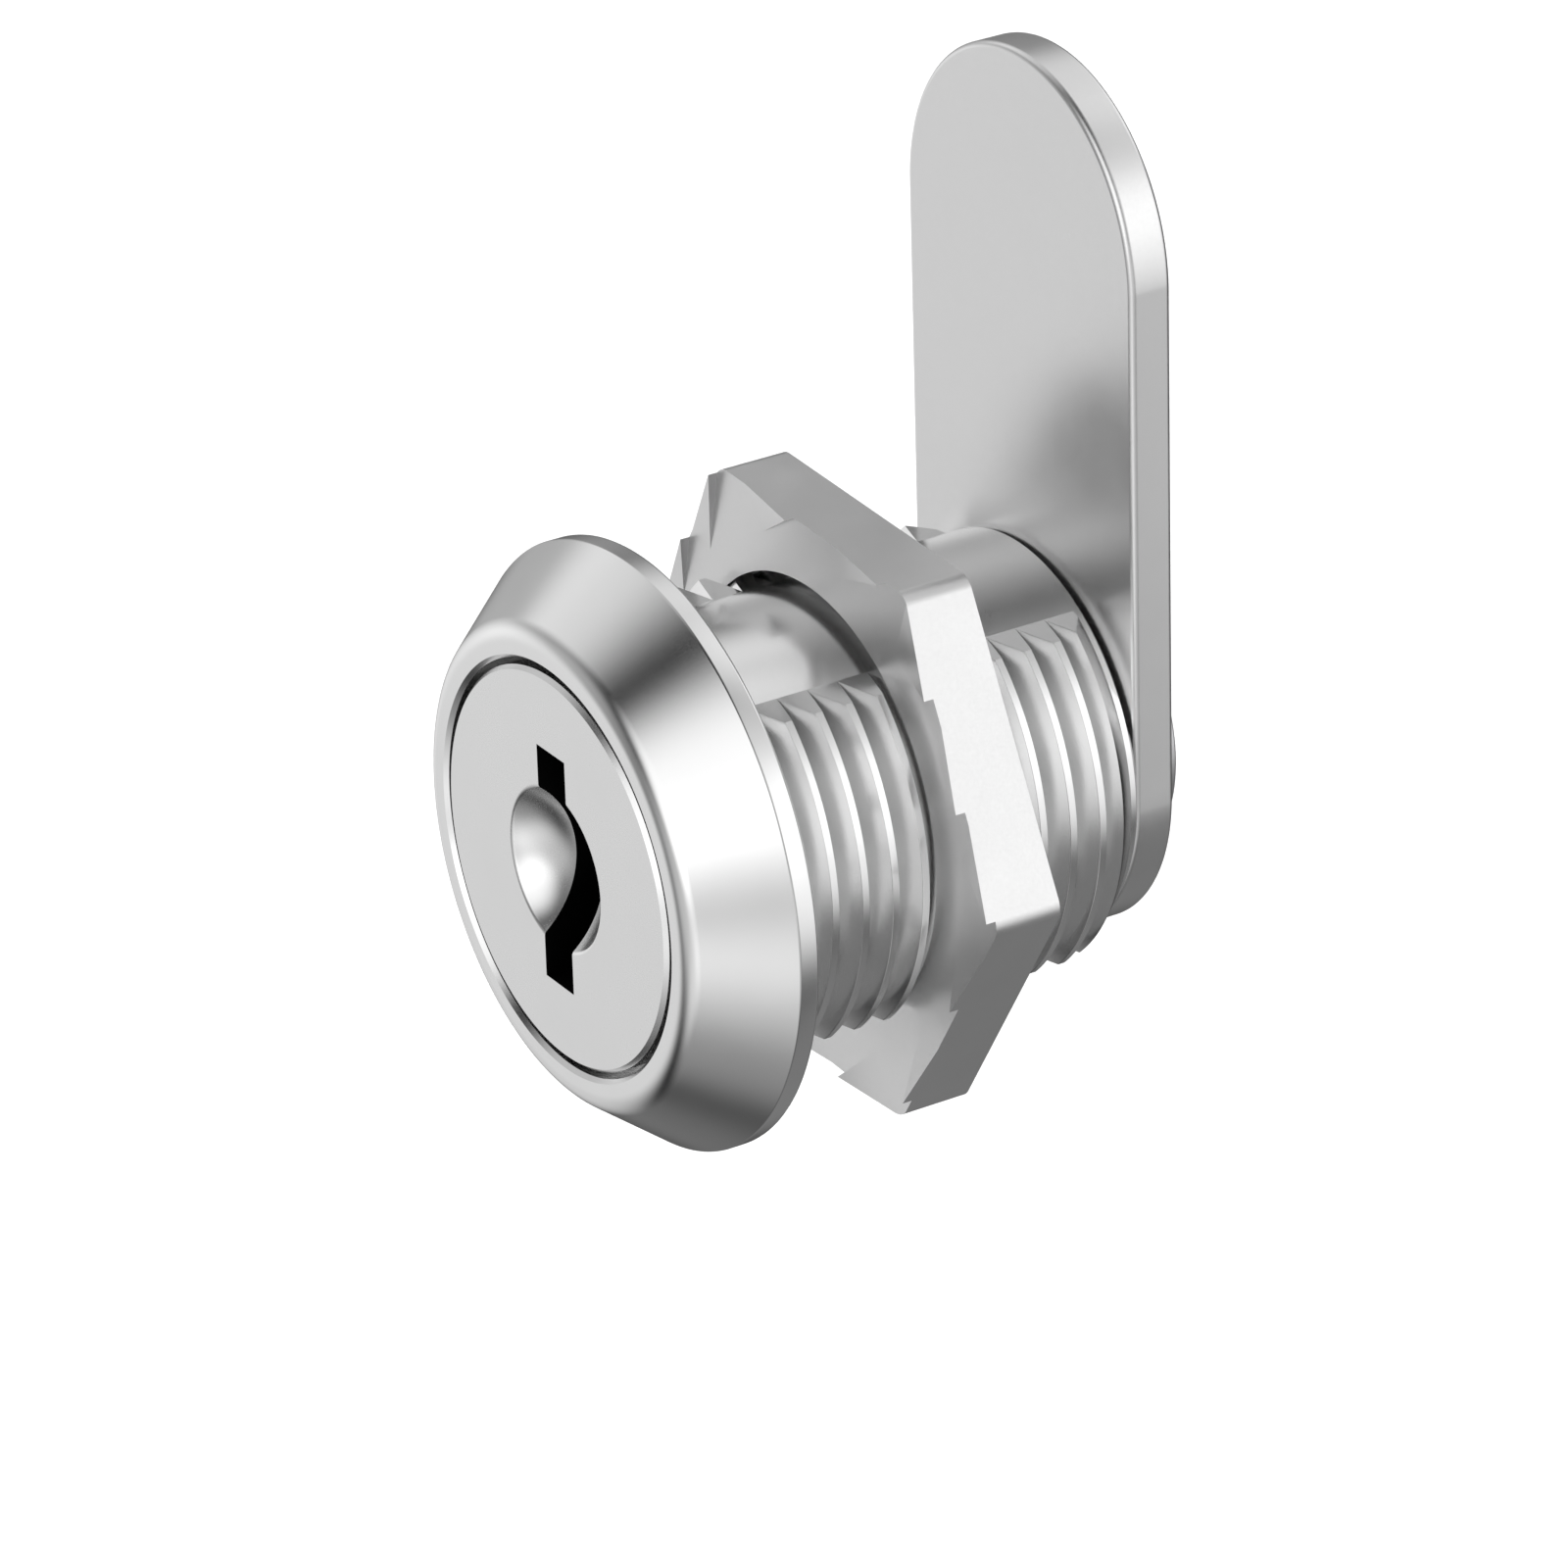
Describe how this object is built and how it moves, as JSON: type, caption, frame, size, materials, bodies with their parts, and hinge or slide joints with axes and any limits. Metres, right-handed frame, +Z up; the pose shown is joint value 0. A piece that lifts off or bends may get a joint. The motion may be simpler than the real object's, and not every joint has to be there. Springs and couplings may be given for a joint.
{
  "type": "cam lock",
  "caption": "Threaded-barrel wafer cam lock with a round flared head, vertical keyway, serrated hexagonal fixing nut and straight flat cam that swings a quarter turn.",
  "frame": {"origin": "on the lock's axis at the back face of the head, which bears on the panel", "axes": "+Y along the lock's axis from the key side into the panel, +Z up along the cam at rest, +X to the right seen from the key side"},
  "size_m": [0.0252, 0.0254, 0.0395],
  "materials": {
    "die_cast_chrome": "polished chrome plate on a zinc die casting",
    "plug_nickel": "satin nickel plate",
    "plated_steel": "satin zinc-plated steel",
    "nut_steel": "satin nickel plate with fine grain",
    "wafer_brass": "punched brass",
    "spring_bronze": "drawn phosphor bronze wire",
    "screw_steel": "bright plated steel"
  },
  "bodies": {
    "housing": {"housing": "die_cast_chrome"},
    "plug": {"plug": "plug_nickel", "cam": "plated_steel", "lock_washer": "plated_steel", "cam_screw": "screw_steel", "wafer_spring_1": "spring_bronze", "wafer_spring_2": "spring_bronze", "wafer_spring_3": "spring_bronze", "wafer_spring_4": "spring_bronze", "wafer_spring_5": "spring_bronze", "wafer_spring_6": "spring_bronze", "wafer_spring_7": "spring_bronze", "wafer_spring_8": "spring_bronze", "retaining_spring": "spring_bronze"},
    "nut": {"nut": "nut_steel"},
    "retaining_wafer": {"retaining_wafer": "wafer_brass"},
    "wafer_1": {"wafer_1": "wafer_brass"},
    "wafer_2": {"wafer_2": "wafer_brass"},
    "wafer_3": {"wafer_3": "wafer_brass"},
    "wafer_4": {"wafer_4": "wafer_brass"},
    "wafer_5": {"wafer_5": "wafer_brass"},
    "wafer_6": {"wafer_6": "wafer_brass"},
    "wafer_7": {"wafer_7": "wafer_brass"},
    "wafer_8": {"wafer_8": "wafer_brass"}
  },
  "joints": [
    {"name": "plug_turn", "type": "hinge", "parent": "housing", "child": "plug", "pos_m": [0, 0, 0], "axis": [0, 1, 0], "range_deg": [0, 90]},
    {"name": "nut_travel", "type": "slide", "parent": "housing", "child": "nut", "axis": [0, 1, 0], "range_m": [-0.00655, 0.00131]},
    {"name": "retainer_press", "type": "slide", "parent": "plug", "child": "retaining_wafer", "axis": [0, 0, -1], "range_m": [0, 0.0008], "stiffness_N_per_m": 60, "springref_m": -0.0025, "deforming": ["retaining_spring"]},
    {"name": "wafer_1_lift", "type": "slide", "parent": "plug", "child": "wafer_1", "axis": [0, 0, 1], "range_m": [0, 0.0008], "stiffness_N_per_m": 60, "springref_m": 0.0025, "deforming": ["wafer_spring_1"]},
    {"name": "wafer_2_lift", "type": "slide", "parent": "plug", "child": "wafer_2", "axis": [0, 0, -1], "range_m": [0, 0.0008], "stiffness_N_per_m": 60, "springref_m": 0.0025, "deforming": ["wafer_spring_2"]},
    {"name": "wafer_3_lift", "type": "slide", "parent": "plug", "child": "wafer_3", "axis": [0, 0, 1], "range_m": [0, 0.0008], "stiffness_N_per_m": 60, "springref_m": 0.0025, "deforming": ["wafer_spring_3"]},
    {"name": "wafer_4_lift", "type": "slide", "parent": "plug", "child": "wafer_4", "axis": [0, 0, -1], "range_m": [0, 0.0008], "stiffness_N_per_m": 60, "springref_m": 0.0025, "deforming": ["wafer_spring_4"]},
    {"name": "wafer_5_lift", "type": "slide", "parent": "plug", "child": "wafer_5", "axis": [0, 0, 1], "range_m": [0, 0.0008], "stiffness_N_per_m": 60, "springref_m": 0.0025, "deforming": ["wafer_spring_5"]},
    {"name": "wafer_6_lift", "type": "slide", "parent": "plug", "child": "wafer_6", "axis": [0, 0, -1], "range_m": [0, 0.0008], "stiffness_N_per_m": 60, "springref_m": 0.0025, "deforming": ["wafer_spring_6"]},
    {"name": "wafer_7_lift", "type": "slide", "parent": "plug", "child": "wafer_7", "axis": [0, 0, 1], "range_m": [0, 0.0008], "stiffness_N_per_m": 60, "springref_m": 0.0025, "deforming": ["wafer_spring_7"]},
    {"name": "wafer_8_lift", "type": "slide", "parent": "plug", "child": "wafer_8", "axis": [0, 0, -1], "range_m": [0, 0.0008], "stiffness_N_per_m": 60, "springref_m": 0.0025, "deforming": ["wafer_spring_8"]}
  ]
}
